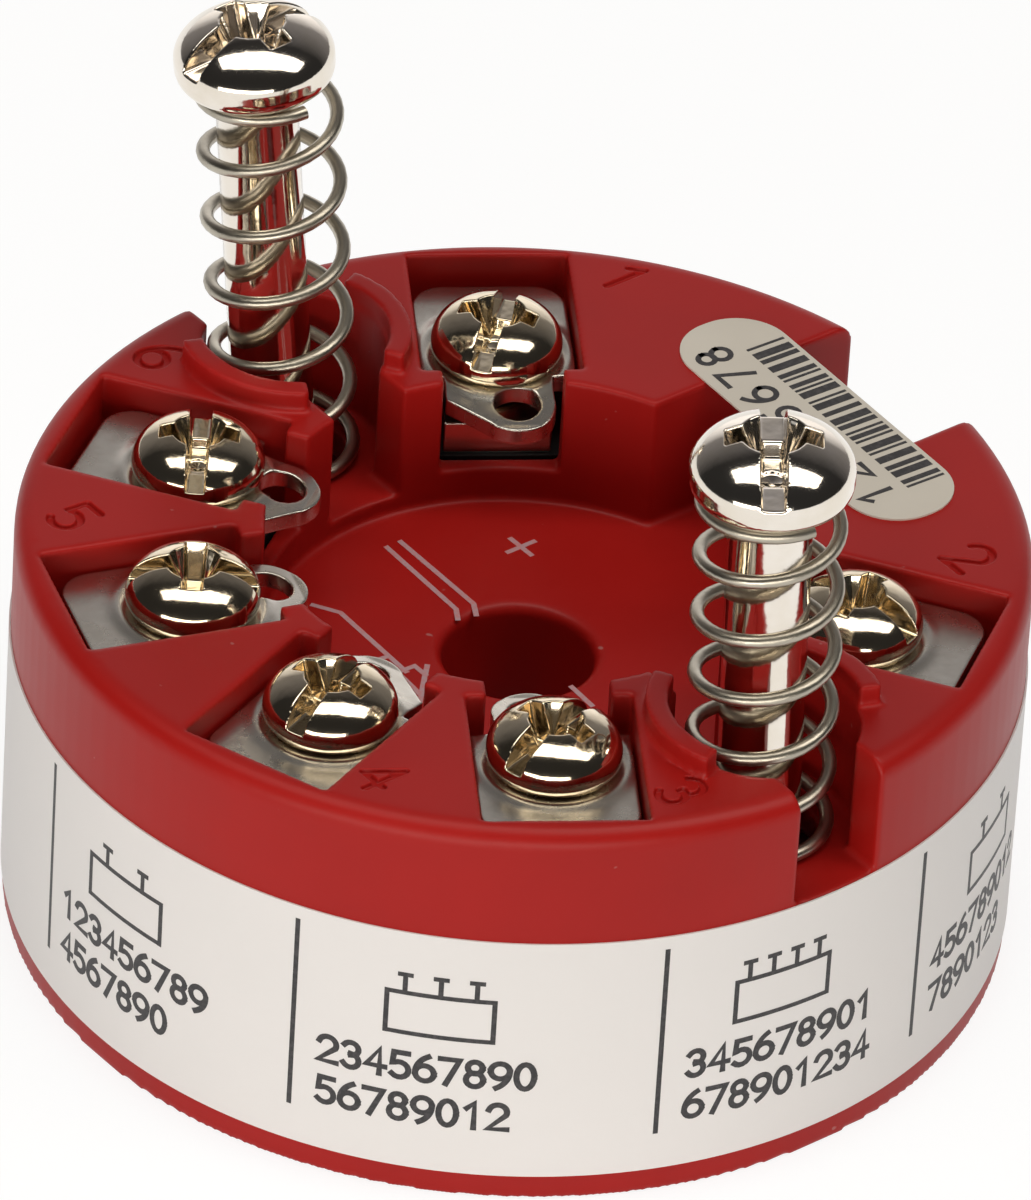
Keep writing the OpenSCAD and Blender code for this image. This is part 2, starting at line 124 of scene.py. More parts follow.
tree.links.new(mix.outputs[0], output.inputs["Surface"])
floor_mesh.materials.append(floor_paint)


def soft_box(name, place, size, watts):
    """A box light whose long side lies across the camera's view."""
    light = bpy.data.lights.new(name, "AREA")
    light.shape = "RECTANGLE"
    light.size, light.size_y = size
    light.color = (1.0, 0.96, 0.89)
    light.energy = watts
    holder = bpy.data.objects.new(name, light)
    away = (Vector(place) - aim).normalized()
    long_side = (level - away * level.dot(away)).normalized()
    holder.matrix_world = Matrix.Translation(place) @ Matrix(
        (long_side, away.cross(long_side), away)).transposed().to_4x4()
    bpy.context.collection.objects.link(holder)


def seen_from(side, near, high):
    """A place given as the camera sees it: to its right, towards it and up."""
    toward = Vector((back.x, back.y, 0)).normalized()
    return level * side + toward * near + Vector((0, 0, high))


soft_box("top_box", seen_from(0.05, 0.06, 0.60), (1.1, 0.26), 3.0)
soft_box("front_box", seen_from(-0.15, 0.80, 0.12), (1.2, 0.18), 4.6)

world = bpy.data.worlds.new("studio")
bpy.context.scene.world = world
world.use_nodes = True
tree = world.node_tree
tree.nodes.clear()
output = tree.nodes.new("ShaderNodeOutputWorld")
where = tree.nodes.new("ShaderNodeTexCoord")
toward_sweep = tree.nodes.new("ShaderNodeVectorMath")
toward_sweep.operation = "DOT_PRODUCT"
toward_sweep.inputs[1].default_value = Vector((-back.x, -back.y, 0)).normalized()
tree.links.new(where.outputs["Generated"], toward_sweep.inputs[0])
sweep = tree.nodes.new("ShaderNodeValToRGB")
for element, (position, grey) in zip(sweep.color_ramp.elements, ((0.30, 0.02), (0.96, 1.0))):
    element.position = position
    element.color = (grey, grey * 0.97, grey * 0.96, 1)
middle = sweep.color_ramp.elements.new(0.80)
middle.color = (0.18, 0.17, 0.17, 1)
tree.links.new(toward_sweep.outputs["Value"], sweep.inputs["Fac"])
sky = tree.nodes.new("ShaderNodeBackground")
sky.inputs["Strength"].default_value = 1.2
tree.links.new(sweep.outputs["Color"], sky.inputs["Color"])
white_wall = tree.nodes.new("ShaderNodeBackground")
white_wall.inputs["Color"].default_value = (1, 1, 1, 1)
path = tree.nodes.new("ShaderNodeLightPath")
mix = tree.nodes.new("ShaderNodeMixShader")
tree.links.new(path.outputs["Is Camera Ray"], mix.inputs["Fac"])
tree.links.new(sky.outputs[0], mix.inputs[1])
tree.links.new(white_wall.outputs[0], mix.inputs[2])
tree.links.new(mix.outputs[0], output.inputs["Surface"])


# The housing is moulded in satin red plastic, with soft edges and the terminal numbers sunk into its top.
# Its mesh is the CAD solid, remeshed finely and rubbed so that every edge gets its mould radius.
def grown(name, verts, faces):
    mesh = bpy.data.meshes.new(name)
    mesh.from_pydata([tuple(v) for v in verts], [], [tuple(f) for f in faces])
    mesh.update()
    piece = bpy.data.objects.new(name, mesh)
    bpy.context.collection.objects.link(piece)
    return piece


def settle(piece):
    """Applies the piece's modifiers to its mesh."""
    bpy.context.view_layer.update()
    graph = bpy.context.evaluated_depsgraph_get()
    made = bpy.data.meshes.new_from_object(piece.evaluated_get(graph))
    piece.modifiers.clear()
    piece.data = made
    return piece


def solid_copy(node, name):
    """A welded copy of a CAD node, as a piece of its own."""
    piece = bpy.data.objects.new(name, nodes[node].data.copy())
    bpy.context.collection.objects.link(piece)
    mesh = bmesh.new()
    mesh.from_mesh(piece.data)
    bmesh.ops.remove_doubles(mesh, verts=mesh.verts, dist=0.0005 * mm)
    mesh.to_mesh(piece.data)
    mesh.free()
    piece.data.materials.clear()
    return piece


def soften(piece, voxel, rubs, keep):
    """Remeshes a closed piece in small voxels, rubs its edges round and thins out the flat stretches."""
    remesh = piece.modifiers.new("remesh", "REMESH")
    remesh.mode = "VOXEL"
    remesh.voxel_size = voxel
    rub = piece.modifiers.new("rub", "SMOOTH")
    rub.factor = 0.5
    rub.iterations = rubs
    if keep < 1:
        thin = piece.modifiers.new("thin", "DECIMATE")
        thin.ratio = keep
    settle(piece)
    piece.data.shade_smooth()
    return piece


def arc(cx, cy, radius, start, end, count=12):
    angles = [radians(start + (end - start) * k / count) for k in range(count + 1)]
    return [(cx + radius * cos(a), cy + radius * sin(a)) for a in angles]


# Strokes of the numerals in a cell one unit high and 0.62 wide
six = [arc(0.31, 0.31, 0.31, 0, 360, 20), arc(0.78, 0.31, 0.78, 180, 118)]
numerals = {
    0: [[(0.31 + 0.29 * cos(radians(a)), 0.5 + 0.5 * sin(radians(a))) for a in range(0, 361, 18)]],
    1: [[(0.12, 0.78), (0.36, 1.0), (0.36, 0.0)]],
    2: [arc(0.31, 0.7, 0.3, 165, -25) + [(0.0, 0.0), (0.62, 0.0)]],
    3: [arc(0.29, 0.74, 0.26, 150, -90), arc(0.29, 0.27, 0.28, 90, -150)],
    4: [[(0.45, 0.0), (0.45, 1.0), (0.0, 0.3), (0.62, 0.3)]],
    5: [[(0.56, 1.0), (0.1, 1.0), (0.06, 0.56)] + arc(0.29, 0.31, 0.31, 120, -140)],
    6: six,
    7: [[(0.0, 1.0), (0.62, 1.0), (0.2, 0.0)]],
    8: [arc(0.31, 0.76, 0.24, 0, 360, 18), arc(0.31, 0.27, 0.28, 0, 360, 18)],
    9: [[(0.62 - x, 1 - y) for x, y in stroke] for stroke in six],
}


def numeral(digit, centre, height, turn=0.0):
    """The strokes of a digit about a centre, in the same unit as its height."""
    c, s = cos(turn), sin(turn)
    strokes = []
    for stroke in numerals[digit]:
        local = [((x - 0.31) * height, (y - 0.5) * height) for x, y in stroke]
        strokes.append([(centre[0] + c * x - s * y, centre[1] + s * x + c * y) for x, y in local])
    return strokes


def stroke_distance(points, stroke):
    """Least distance from each plan point to a stroke."""
    least = np.full(len(points), 1e9)
    for a, b in zip(stroke[:-1], stroke[1:]):
        a, b = np.array(a), np.array(b)
        along = np.clip(((points - a) @ (b - a)) / max((b - a) @ (b - a), 1e-12), 0, 1)
        least = np.minimum(least, np.linalg.norm(points - a - along[:, None] * (b - a), axis=1))
    return least


top_z = 19.2 * mm
housing_voxel = 0.13 * mm
shell = soften(solid_copy("housing", "housing_shell"), housing_voxel, 3, 1.0)
number_height = 2.1 * mm
number_stroke = 0.13 * mm
number_depth = 0.2 * mm
number_soft = 0.07 * mm
number_places = [(-12.6, 15.25), (12.3, 14.6), (18.5, -6.05), (10.65, -15.9), (-11.5, -15.6), (-19.1, -5.4)]
number_reach = 0.75 * number_height


def beside_number(spot):
    return any(abs(spot.x - x * mm) < number_reach and abs(spot.y - y * mm) < number_reach
               for x, y in number_places)


mesh = bmesh.new()
mesh.from_mesh(shell.data)
close = [edge for edge in mesh.edges
         if abs(edge.verts[0].co.z - top_z) < 0.05 * mm and beside_number(edge.verts[0].co)]
bmesh.ops.subdivide_edges(mesh, edges=close, cuts=3, use_grid_fill=True)
mesh.to_mesh(shell.data)
mesh.free()
shell.data.shade_smooth()
co = np.zeros(len(shell.data.vertices) * 3)
shell.data.vertices.foreach_get("co", co)
co = co.reshape(-1, 3)
on_top = np.where(np.abs(co[:, 2] - top_z) < 0.1 * mm)[0]
for digit, (x, y) in enumerate(number_places, 1):
    near = on_top[np.hypot(co[on_top, 0] - x * mm, co[on_top, 1] - y * mm) < number_height]
    for stroke in numeral(digit, (x * mm, y * mm), number_height):
        gap = stroke_distance(co[near, :2], stroke)
        sunk = np.clip((number_stroke + number_soft - gap) / number_soft, 0, 1)
        co[near, 2] = np.minimum(co[near, 2], top_z - number_depth * sunk * sunk * (3 - 2 * sunk))
shell.data.vertices.foreach_set("co", co.ravel())
shell.data.update()


# Shading shared by the moulded pieces: a fine spark-eroded grain, cloudy tone and a few specks of dust
def shader_group(name, inputs, outputs):
    group = bpy.data.node_groups.new(name, "ShaderNodeTree")
    for label, value in inputs:
        socket = group.interface.new_socket(label, in_out="INPUT", socket_type="NodeSocketFloat")
        socket.default_value = value
    for label in outputs:
        group.interface.new_socket(label, in_out="OUTPUT", socket_type="NodeSocketFloat")
    entry = group.nodes.new("NodeGroupInput")
    leave = group.nodes.new("NodeGroupOutput")
    coords = group.nodes.new("ShaderNodeTexCoord")
    return group, entry, leave, coords.outputs["Object"]


def noise(tree, vector, scale, detail=2.0, roughness=0.5):
    node = tree.nodes.new("ShaderNodeTexNoise")
    tree.links.new(vector, node.inputs["Vector"])
    if isinstance(scale, (int, float)):
        node.inputs["Scale"].default_value = scale
    else:
        tree.links.new(scale, node.inputs["Scale"])
    node.inputs["Detail"].default_value = detail
    node.inputs["Roughness"].default_value = roughness
    return node.outputs["Fac"]


def ranged(tree, value, low, high, to_low=0.0, to_high=1.0):
    node = tree.nodes.new("ShaderNodeMapRange")
    tree.links.new(value, node.inputs["Value"])
    node.inputs["From Min"].default_value = low
    node.inputs["From Max"].default_value = high
    node.inputs["To Min"].default_value = to_low
    node.inputs["To Max"].default_value = to_high
    return node.outputs["Result"]


grain_group, entry, leave, place = shader_group(
    "mould_grain", [("Grain Scale", 9000.0), ("Cloud Scale", 120.0)], ["Height", "Cloud", "Dust"])
sparks = noise(grain_group, place, entry.outputs["Grain Scale"], 3.0, 0.6)
grain_group.links.new(sparks, leave.inputs["Height"])
clouds = noise(grain_group, place, entry.outputs["Cloud Scale"], 4.0)
grain_group.links.new(ranged(grain_group, clouds, 0.3, 0.7), leave.inputs["Cloud"])
specks = noise(grain_group, place, 1400.0, 1.0)
grain_group.links.new(ranged(grain_group, specks, 0.79, 0.82), leave.inputs["Dust"])


def painted(name, dark, light, rough, grain=0.25, cloud_scale=120.0, dust=0.25, specular=0.5):
    """A moulded plastic: two close tones in soft clouds, grain in its normal, dust on top."""
    material, tree, output = new_material(name)
    shader = tree.nodes.new("ShaderNodeBsdfPrincipled")
    tree.links.new(shader.outputs[0], output.inputs["Surface"])
    surface = tree.nodes.new("ShaderNodeGroup")
    surface.node_tree = grain_group
    surface.inputs["Cloud Scale"].default_value = cloud_scale
    tone = tree.nodes.new("ShaderNodeMix")
    tone.data_type = "RGBA"
    tone.inputs["A"].default_value = (*dark, 1)
    tone.inputs["B"].default_value = (*light, 1)
    tree.links.new(surface.outputs["Cloud"], tone.inputs["Factor"])
    dusty = tree.nodes.new("ShaderNodeMix")
    dusty.data_type = "RGBA"
    dusty.inputs["B"].default_value = (0.6, 0.5, 0.48, 1)
    dust_share = tree.nodes.new("ShaderNodeMath")
    dust_share.operation = "MULTIPLY"
    dust_share.inputs[1].default_value = dust
    tree.links.new(surface.outputs["Dust"], dust_share.inputs[0])
    tree.links.new(dust_share.outputs[0], dusty.inputs["Factor"])
    tree.links.new(tone.outputs["Result"], dusty.inputs["A"])
    tree.links.new(dusty.outputs["Result"], shader.inputs["Base Color"])
    tree.links.new(ranged(tree, surface.outputs["Cloud"], 0, 1, rough * 0.92, rough * 1.08),
                   shader.inputs["Roughness"])
    shader.inputs["Specular IOR Level"].default_value = specular
    bump = tree.nodes.new("ShaderNodeBump")
    bump.inputs["Strength"].default_value = grain
    bump.inputs["Distance"].default_value = 0.01 * mm
    tree.links.new(surface.outputs["Height"], bump.inputs["Height"])
    tree.links.new(bump.outputs["Normal"], shader.inputs["Normal"])
    return material


red_plastic = painted("red_plastic", (0.365, 0.008, 0.006), (0.415, 0.010, 0.008), 0.42, specular=0.24)
shell.data.materials.append(red_plastic)
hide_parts("housing")
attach(shell, "base")

# The base cover snaps in flush from below. It is moulded in the same red, a little duller.
cover = soften(solid_copy("base_cover", "base_cover_disc"), (0.2) * mm, 3, 1.0)
cover.data.materials.append(painted("cover_red", (0.26, 0.007, 0.006), (0.31, 0.009, 0.007), 0.5))
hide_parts("base_cover")
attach(cover, "base")


# The label is a strip of white printed film round the side, cut out where the wire notch meets its edge.
# Its print is plain: ruled fields, a small wiring diagram and rows of counting numbers, in worn black ink.
def tube_wall(name, inner, outer, low, high, gaps, step=1.0):
    """A thin round wall from gap to gap, given as angles in degrees."""
    verts, faces = [], []
    start, end = gaps
    count = int((end - start) / step)
    for k in range(count + 1):
        a = radians(start + (end - start) * k / count)
        for radius, z in ((inner, low), (outer, low), (outer, high), (inner, high)):
            verts.append((radius * cos(a), radius * sin(a), z))
    for k in range(count):
        for j in range(4):
            a, b = k * 4 + j, k * 4 + (j + 1) % 4
            faces.append((a, a + 4, b + 4, b))
    faces.append((0, 1, 2, 3))
    last = count * 4
    faces.append((last + 3, last + 2, last + 1, last))
    return grown(name, verts, faces)


label_r = 21.985 * mm
label_under_r = 21.905 * mm
label_low = 1.2 * mm
label_high = 13.55 * mm
notch_half_angle = 11.3
label = tube_wall("label_film", label_under_r, label_r, label_low, label_high,
                  (90 + notch_half_angle, 450 - notch_half_angle))
label.data.shade_smooth()
label.data.set_sharp_from_angle(angle=radians(40))
strip = tube_wall("label_film_under_notch", label_under_r, label_r, label_low, 12.55 * mm,
                  (90 - notch_half_angle, 90 + notch_half_angle))
strip.data.shade_smooth()
strip.data.set_sharp_from_angle(angle=radians(40))
film_white = painted("film_white", (0.85, 0.83, 0.83), (0.89, 0.865, 0.865), 0.45, 0.12, 60.0, 0.0)
for piece in (label, strip):
    piece.data.materials.append(film_white)
    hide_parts("label_band")
    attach(piece, "base")


def inked(name, tone, worn):
    """Printed ink whose edges and middle have worn a little thin."""
    material, tree, output = new_material(name)
    shader = tree.nodes.new("ShaderNodeBsdfPrincipled")
    tree.links.new(shader.outputs[0], output.inputs["Surface"])
    coords = tree.nodes.new("ShaderNodeTexCoord")
    patches = ranged(tree, noise(tree, coords.outputs["Object"], 5000.0, 3.0), 0.42, 0.75)
    blend = tree.nodes.new("ShaderNodeMix")
    blend.data_type = "RGBA"
    blend.inputs["A"].default_value = (*tone, 1)
    blend.inputs["B"].default_value = (*worn, 1)
    tree.links.new(patches, blend.inputs["Factor"])
    tree.links.new(blend.outputs["Result"], shader.inputs["Base Color"])
    tree.links.new(ranged(tree, patches, 0, 1, 0.42, 0.6), shader.inputs["Roughness"])
    return material


def inked_strokes(name, strokes, width, place, ink):
    """Strokes as thin flat ribbons on the surface place(u, v, height). Crossing ones differ in height."""
    verts, faces = [], []
    for number, stroke in enumerate(strokes):
        thick = (0.010 + 0.002 * (number % 4)) * mm
        points = [Vector(p) for p in stroke]
        count = len(points)
        base = len(verts)
        for k, point in enumerate(points):
            ahead = (points[min(k + 1, count - 1)] - point).normalized() if k < count - 1 else None
            behind = (point - points[k - 1]).normalized() if k > 0 else None
            along = ((ahead or behind) + (behind or ahead)).normalized()
            side = Vector((-along.y, along.x))
            other = ahead or behind
            stretch = min(1 / max(abs(Vector((-other.y, other.x)).dot(side)), 0.5), 1.6)
            if k == 0:
                point = point - along * width / 2
            elif k == count - 1:
                point = point + along * width / 2
            offset = side * width / 2 * stretch
            near, far = point + offset, point - offset
            for p, height in ((near, 0), (far, 0), (far, thick), (near, thick)):
                verts.append(place(p.x, p.y, height))
        for k in range(count - 1):
            for j in range(4):
                a, b = base + k * 4 + j, base + k * 4 + (j + 1) % 4
                faces.append((a, b, b + 4, a + 4))
        faces.append((base + 3, base + 2, base + 1, base))
        last = base + (count - 1) * 4
        faces.append((last, last + 1, last + 2, last + 3))
    piece = grown(name, verts, faces)
    piece.data.materials.append(ink)
    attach(piece, "base")
    return piece


def on_label(u, v, height):
    """u runs round the label in metres from the +X side, v is the height over the mounting face."""
    radius = label_r + height * 0.9
    return (radius * cos(u / label_r), radius * sin(u / label_r), v)


def rule(x0, y0, x1, y1, pieces=1):
    return [(x0 + (x1 - x0) * k / pieces, y0 + (y1 - y0) * k / pieces) for k in range(pieces + 1)]


label_ink = inked("label_ink", (0.022, 0.02, 0.022), (0.07, 0.065, 0.068))
field_lines = [-101.3, -62.6, -21.1, 14.1, 52.0, 132.0, 171.0, 212.0]
field_margin = 0.05
widest_field = 60
first_row, second_row, row_height = 5.9 * mm, 3.7 * mm, 1.3 * mm
diagram_low, diagram_width, diagram_height = 8.3 * mm, 4.6 * mm, 2.1 * mm
thin_rules, digits = [], []
for angle in field_lines:
    u = radians(angle) * label_r
    thin_rules.append(rule(u, 3.2 * mm, u, 12.8 * mm, 4))


def number_row(u, v, height, start, count, pitch=0.82):
    rows = []
    for k in range(count):
        rows += numeral((start + k) % 10, (u + (k + 0.5) * height * pitch, v + height / 2), height)
    return rows


def wiring(u, v, width, height, ways):
    """A plain wiring diagram: a box with leads that end in short ticks."""
    lines = [rule(u, v, u + width, v, 6), rule(u, v + height, u + width, v + height, 6),
             rule(u, v, u, v + height), rule(u + width, v, u + width, v + height)]
    for k in range(ways):
        x = u + width * (k + 0.5) / ways
        lines.append(rule(x, v + height, x, v + height * 1.45))
        lines.append(rule(x - width * 0.05, v + height * 1.45, x + width * 0.05, v + height * 1.45))
    return lines


field_widths = [b - a for a, b in zip(field_lines[:-1], field_lines[1:])]
for k, (angle, width) in enumerate(zip(field_lines[:-1], field_widths)):
    if width > widest_field:
        continue
    u = (radians(angle) + field_margin) * label_r
    diagram_u = u + (2.2 + 0.8 * (k % 2)) * mm
    thin_rules += wiring(diagram_u, diagram_low, diagram_width, diagram_height, 2 + k % 3)
    digits += number_row(u, first_row, row_height, 1 + k, 9)
    digits += number_row(u, second_row, row_height, 4 + k, 7 + k % 3)
for name, strokes, width in (("label_rules", thin_rules, 0.22 * mm), ("label_numbers", digits, 0.27 * mm)):
    inked_strokes(name, strokes, width, on_label, label_ink)


# The barcode sticker is cream paper with round ends, stuck on the top so that it bridges the wire notch.
# Its bars follow a simple counting rule, and the numbers beside them just count.
sticker_x, sticker_y = 0.6 * mm, 15.5 * mm
sticker_turn = radians(-3)
sticker_l, sticker_w, sticker_r = 16.6 * mm, 5.1 * mm, 2.4 * mm
sticker_low, sticker_high = 19.203 * mm, 19.29 * mm


def on_sticker(u, v, height):
    c, s = cos(sticker_turn), sin(sticker_turn)
    return (sticker_x + c * u - s * v, sticker_y + s * u + c * v, sticker_high + height)


outline = []
for quarter, (sx, sy) in enumerate(((1, 1), (-1, 1), (-1, -1), (1, -1))):
    cx, cy = sx * (sticker_l / 2 - sticker_r), sy * (sticker_w / 2 - sticker_r)
    outline += arc(cx, cy, sticker_r, quarter * 90, quarter * 90 + 90, 14)
count = len(outline)
verts = [on_sticker(x, y, sticker_low - sticker_high) for x, y in outline]
verts += [on_sticker(x, y, 0) for x, y in outline]
faces = [tuple(range(count - 1, -1, -1)), tuple(range(count, 2 * count))]
faces += [(k, (k + 1) % count, count + (k + 1) % count, count + k) for k in range(count)]
sticker = grown("sticker_paper", verts, faces)
sticker_cream = painted("sticker_cream", (0.66, 0.61, 0.53), (0.71, 0.66, 0.58), 0.55, 0.3, 200.0, 0.0)
sticker.data.materials.append(sticker_cream)
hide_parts("barcode_sticker")
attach(sticker, "base")
bar_low, bar_high = 0.35 * mm, 2.32 * mm
bar_unit = 0.145 * mm
bars_half_l = 6.3 * mm
u = bars_half_l
bars = {1: [], 2: [], 3: []}
for k in range(34):
    bar = 1 + (k * 7 + k // 3) % 3
    gap = 1 + (k * 5 + k // 4) % 2
    u -= bar * bar_unit
    if u < -bars_half_l:
        break
    bars[bar].append(rule(u + bar * bar_unit / 2, bar_low + bar * bar_unit / 2, u + bar * bar_unit / 2,
                          bar_high - bar * bar_unit / 2))
    u -= gap * bar_unit
for units, strokes in bars.items():
    printed_bars = inked_strokes(f"sticker_bars_{units}", strokes, units * bar_unit, on_sticker, label_ink)
number_h = 1.55 * mm
number_start, number_pitch, number_row_v = 6.0 * mm, 1.72 * mm, -1.15 * mm
row = []
for k, digit in enumerate((1, 2, 3, 4, 5, 6, 7, 8)):
    row += numeral(digit, (number_start - k * number_pitch, number_row_v), number_h, pi)
inked_strokes("sticker_numbers", row, 0.26 * mm, on_sticker, label_ink)

# The wiring marks on the well floor are screen printed in pale ink: a plus sign and the leads of a sensor.
floor_print_z = 12.7 * mm


def on_floor(u, v, height):
    return (u, v, floor_print_z + height)


pale_ink = inked("pale_ink", (0.52, 0.33, 0.36), (0.60, 0.22, 0.22))
marks = [[(-6.7, 4.8), (-5.3, 4.8)], [(-6.0, 4.1), (-6.0, 5.5)],
         [(-9.2, -0.1), (-3.9, -0.38), (-3.3, -0.75)], [(-9.2, 0.65), (-3.8, 0.5), (-3.1, 0.1)],
         [(-7.6, -5.35), (-6.5, -4.7), (-1.5, -4.95)], [(-2.85, -5.45), (-2.8, -4.9)],
         [(3.4, 0.3), (4.9, 0.2)],
         [(-1.65, -5.35), (-1.6, -4.4), (-0.85, -4.4)], [(-1.45, -5.3), (0.2, -5.45)],
         [(-1.3, -3.95), (-0.7, -4.55), (0.6, -5.8)]]
strokes = [[(x * mm, y * mm) for x, y in mark] for mark in marks]
inked_strokes("floor_print", strokes, 0.24 * mm, on_floor, pale_ink)


# The contacts are punched from nickel-plated strip and carry the clamp plates' pressure to the board.
# Their plate is bright, faintly gold and a little lumpy, with the rolled grain of the strip showing through.
metal_group, entry, leave, place = shader_group(
    "metal_wear", [("Lump Scale", 900.0), ("Grain Scale", 6000.0), ("Stretch", 1.0)],
    ["Lumps", "Grain", "Stain"])
stretched = metal_group.nodes.new("ShaderNodeMapping")
metal_group.links.new(place, stretched.inputs["Vector"])
direction = metal_group.nodes.new("ShaderNodeCombineXYZ")
direction.inputs["Y"].default_value = 1
direction.inputs["Z"].default_value = 1
metal_group.links.new(entry.outputs["Stretch"], direction.inputs["X"])
metal_group.links.new(direction.outputs[0], stretched.inputs["Scale"])
metal_group.links.new(noise(metal_group, place, entry.outputs["Lump Scale"], 2.0), leave.inputs["Lumps"])
strip_grain = noise(metal_group, stretched.outputs[0], entry.outputs["Grain Scale"], 3.0, 0.65)
metal_group.links.new(strip_grain, leave.inputs["Grain"])
blotches = noise(metal_group, place, 420.0, 4.0, 0.6)
metal_group.links.new(ranged(metal_group, blotches, 0.35, 0.75), leave.inputs["Stain"])


def plated(name, bright, stained, rough, lumps=0.3, grain=0.05, stretch=1.0, lump_scale=900.0):
    material, tree, output = new_material(name)
    shader = tree.nodes.new("ShaderNodeBsdfPrincipled")
    tree.links.new(shader.outputs[0], output.inputs["Surface"])
    surface = tree.nodes.new("ShaderNodeGroup")
    surface.node_tree = metal_group
    surface.inputs["Lump Scale"].default_value = lump_scale
    surface.inputs["Stretch"].default_value = stretch
    tone = tree.nodes.new("ShaderNodeMix")
    tone.data_type = "RGBA"
    tone.inputs["A"].default_value = (*bright, 1)
    tone.inputs["B"].default_value = (*stained, 1)
    tree.links.new(surface.outputs["Stain"], tone.inputs["Factor"])
    tree.links.new(tone.outputs["Result"], shader.inputs["Base Color"])
    shader.inputs["Metallic"].default_value = 1
    tree.links.new(ranged(tree, surface.outputs["Stain"], 0, 1, rough * 0.85, rough * 1.25),
                   shader.inputs["Roughness"])
    first = tree.nodes.new("ShaderNodeBump")
    first.inputs["Strength"].default_value = lumps
    first.inputs["Distance"].default_value = 0.12 * mm
    tree.links.new(surface.outputs["Lumps"], first.inputs["Height"])
    second = tree.nodes.new("ShaderNodeBump")
    second.inputs["Strength"].default_value = grain
    second.inputs["Distance"].default_value = 0.02 * mm
    tree.links.new(surface.outputs["Grain"], second.inputs["Height"])
    tree.links.new(first.outputs["Normal"], second.inputs["Normal"])
    tree.links.new(second.outputs["Normal"], shader.inputs["Normal"])
    return material


terminal_circle = 14.95 * mm
terminal_angles = [147, 33, -33, -71, -109, -147]
contact_nickel = plated("contact_nickel", (0.72, 0.68, 0.61), (0.60, 0.55, 0.48), 0.22, 0.03, 0.04, 1.0)
fine = 0.06
for n in range(1, 7):
    contact = soften(solid_copy(f"contact_{n}", f"contact_strip_{n}"), fine * mm, 4, 0.35)
    contact.data.materials.append(contact_nickel)
    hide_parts(f"contact_{n}")
    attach(contact, "base")

# The clamp plates are stamped and tumbled: a raised bead runs round the screw, and the eyelet dips inwards.
# Each is the same stamping, turned to its terminal and held under the head of its screw.
bead_r, bead_half_w, bead_rise = 3.2 * mm, 0.35 * mm, 0.10 * mm
bead_root = 0.5 * mm
nose_start, nose_run, nose_dip = 12.6 * mm, 2.6 * mm, 0.35 * mm
plate_nickel = plated("plate_nickel", (0.70, 0.665, 0.60), (0.56, 0.525, 0.46), 0.26, 0.08, 0.12, 6.0)
plate_top = joints["turn_1"]["pos_m"][2]
pattern = soften(solid_copy("clamp_plate_1", "clamp_stamping"), fine * mm * 0.9, 5, 1.0)
first_turn = Matrix.Rotation(radians(-terminal_angles[0]), 4, "Z")
pattern.data.transform(first_turn)
co = np.zeros(len(pattern.data.vertices) * 3)
pattern.data.vertices.foreach_get("co", co)
co = co.reshape(-1, 3)
from_screw = np.hypot(co[:, 0] - terminal_circle, co[:, 1])
upper = np.clip((co[:, 2] - (plate_top - bead_root)) / bead_root, 0, 1)
co[:, 2] += bead_rise * upper * np.exp(-((from_screw - bead_r) / bead_half_w) ** 2)
nose = np.clip((nose_start - co[:, 0]) / nose_run, 0, 1)
co[:, 2] -= nose_dip * nose ** 1.5
pattern.data.vertices.foreach_set("co", co.ravel())
pattern.data.update()
for n, angle in enumerate(terminal_angles, 1):
    plate = bpy.data.objects.new(f"clamp_stamping_{n}", pattern.data.copy())
    bpy.context.collection.objects.link(plate)
    plate.data.transform(Matrix.Rotation(radians(angle), 4, "Z"))
    plate.data.materials.append(plate_nickel)
    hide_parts(f"clamp_plate_{n}")
    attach(plate, f"clamp_{n}")
bpy.data.objects.remove(pattern)


# The six terminal screws are M3 by 7, turned steel with bright nickel plate, threaded into the brass bushes.
# Their heads are domed, with a through slot for a blade and a tapered cross for a driver.
def lathe(name, profile, count=96):
    """A solid turned from a profile of (radius, height) points that starts and ends on the axis."""
    verts = [(0, 0, profile[0][1])]
    rings = profile[1:-1]
    for radius, z in rings:
        verts += [(radius * cos(2 * pi * k / count), radius * sin(2 * pi * k / count), z)
                  for k in range(count)]
    verts.append((0, 0, profile[-1][1]))
    faces = [(0, 1 + (k + 1) % count, 1 + k) for k in range(count)]
    for ring in range(len(rings) - 1):
        a = 1 + ring * count
        faces += [(a + k, a + (k + 1) % count, a + count + (k + 1) % count, a + count + k)
                  for k in range(count)]
    last = 1 + (len(rings) - 1) * count
    faces += [(last + k, last + (k + 1) % count, len(verts) - 1) for k in range(count)]
    return grown(name, verts, faces)


def block(name, low_size, high_size, low, high):
    """A four-sided block whose plan tapers from one size at the bottom to another at the top."""
    verts = []
    for (x, y), z in ((low_size, low), (high_size, high)):
        verts += [(-x / 2, -y / 2, z), (x / 2, -y / 2, z), (x / 2, y / 2, z), (-x / 2, y / 2, z)]
    faces = [(3, 2, 1, 0), (4, 5, 6, 7)]
    faces += [(k, (k + 1) % 4, (k + 1) % 4 + 4, k + 4) for k in range(4)]
    return grown(name, verts, faces)


def cut(piece, cutters):
    for cutter in cutters:
        knife = piece.modifiers.new("knife", "BOOLEAN")
        knife.operation = "DIFFERENCE"
        knife.solver = "EXACT"
        knife.object = cutter
    settle(piece)
    for cutter in cutters:
        bpy.data.objects.remove(cutter)
    return piece


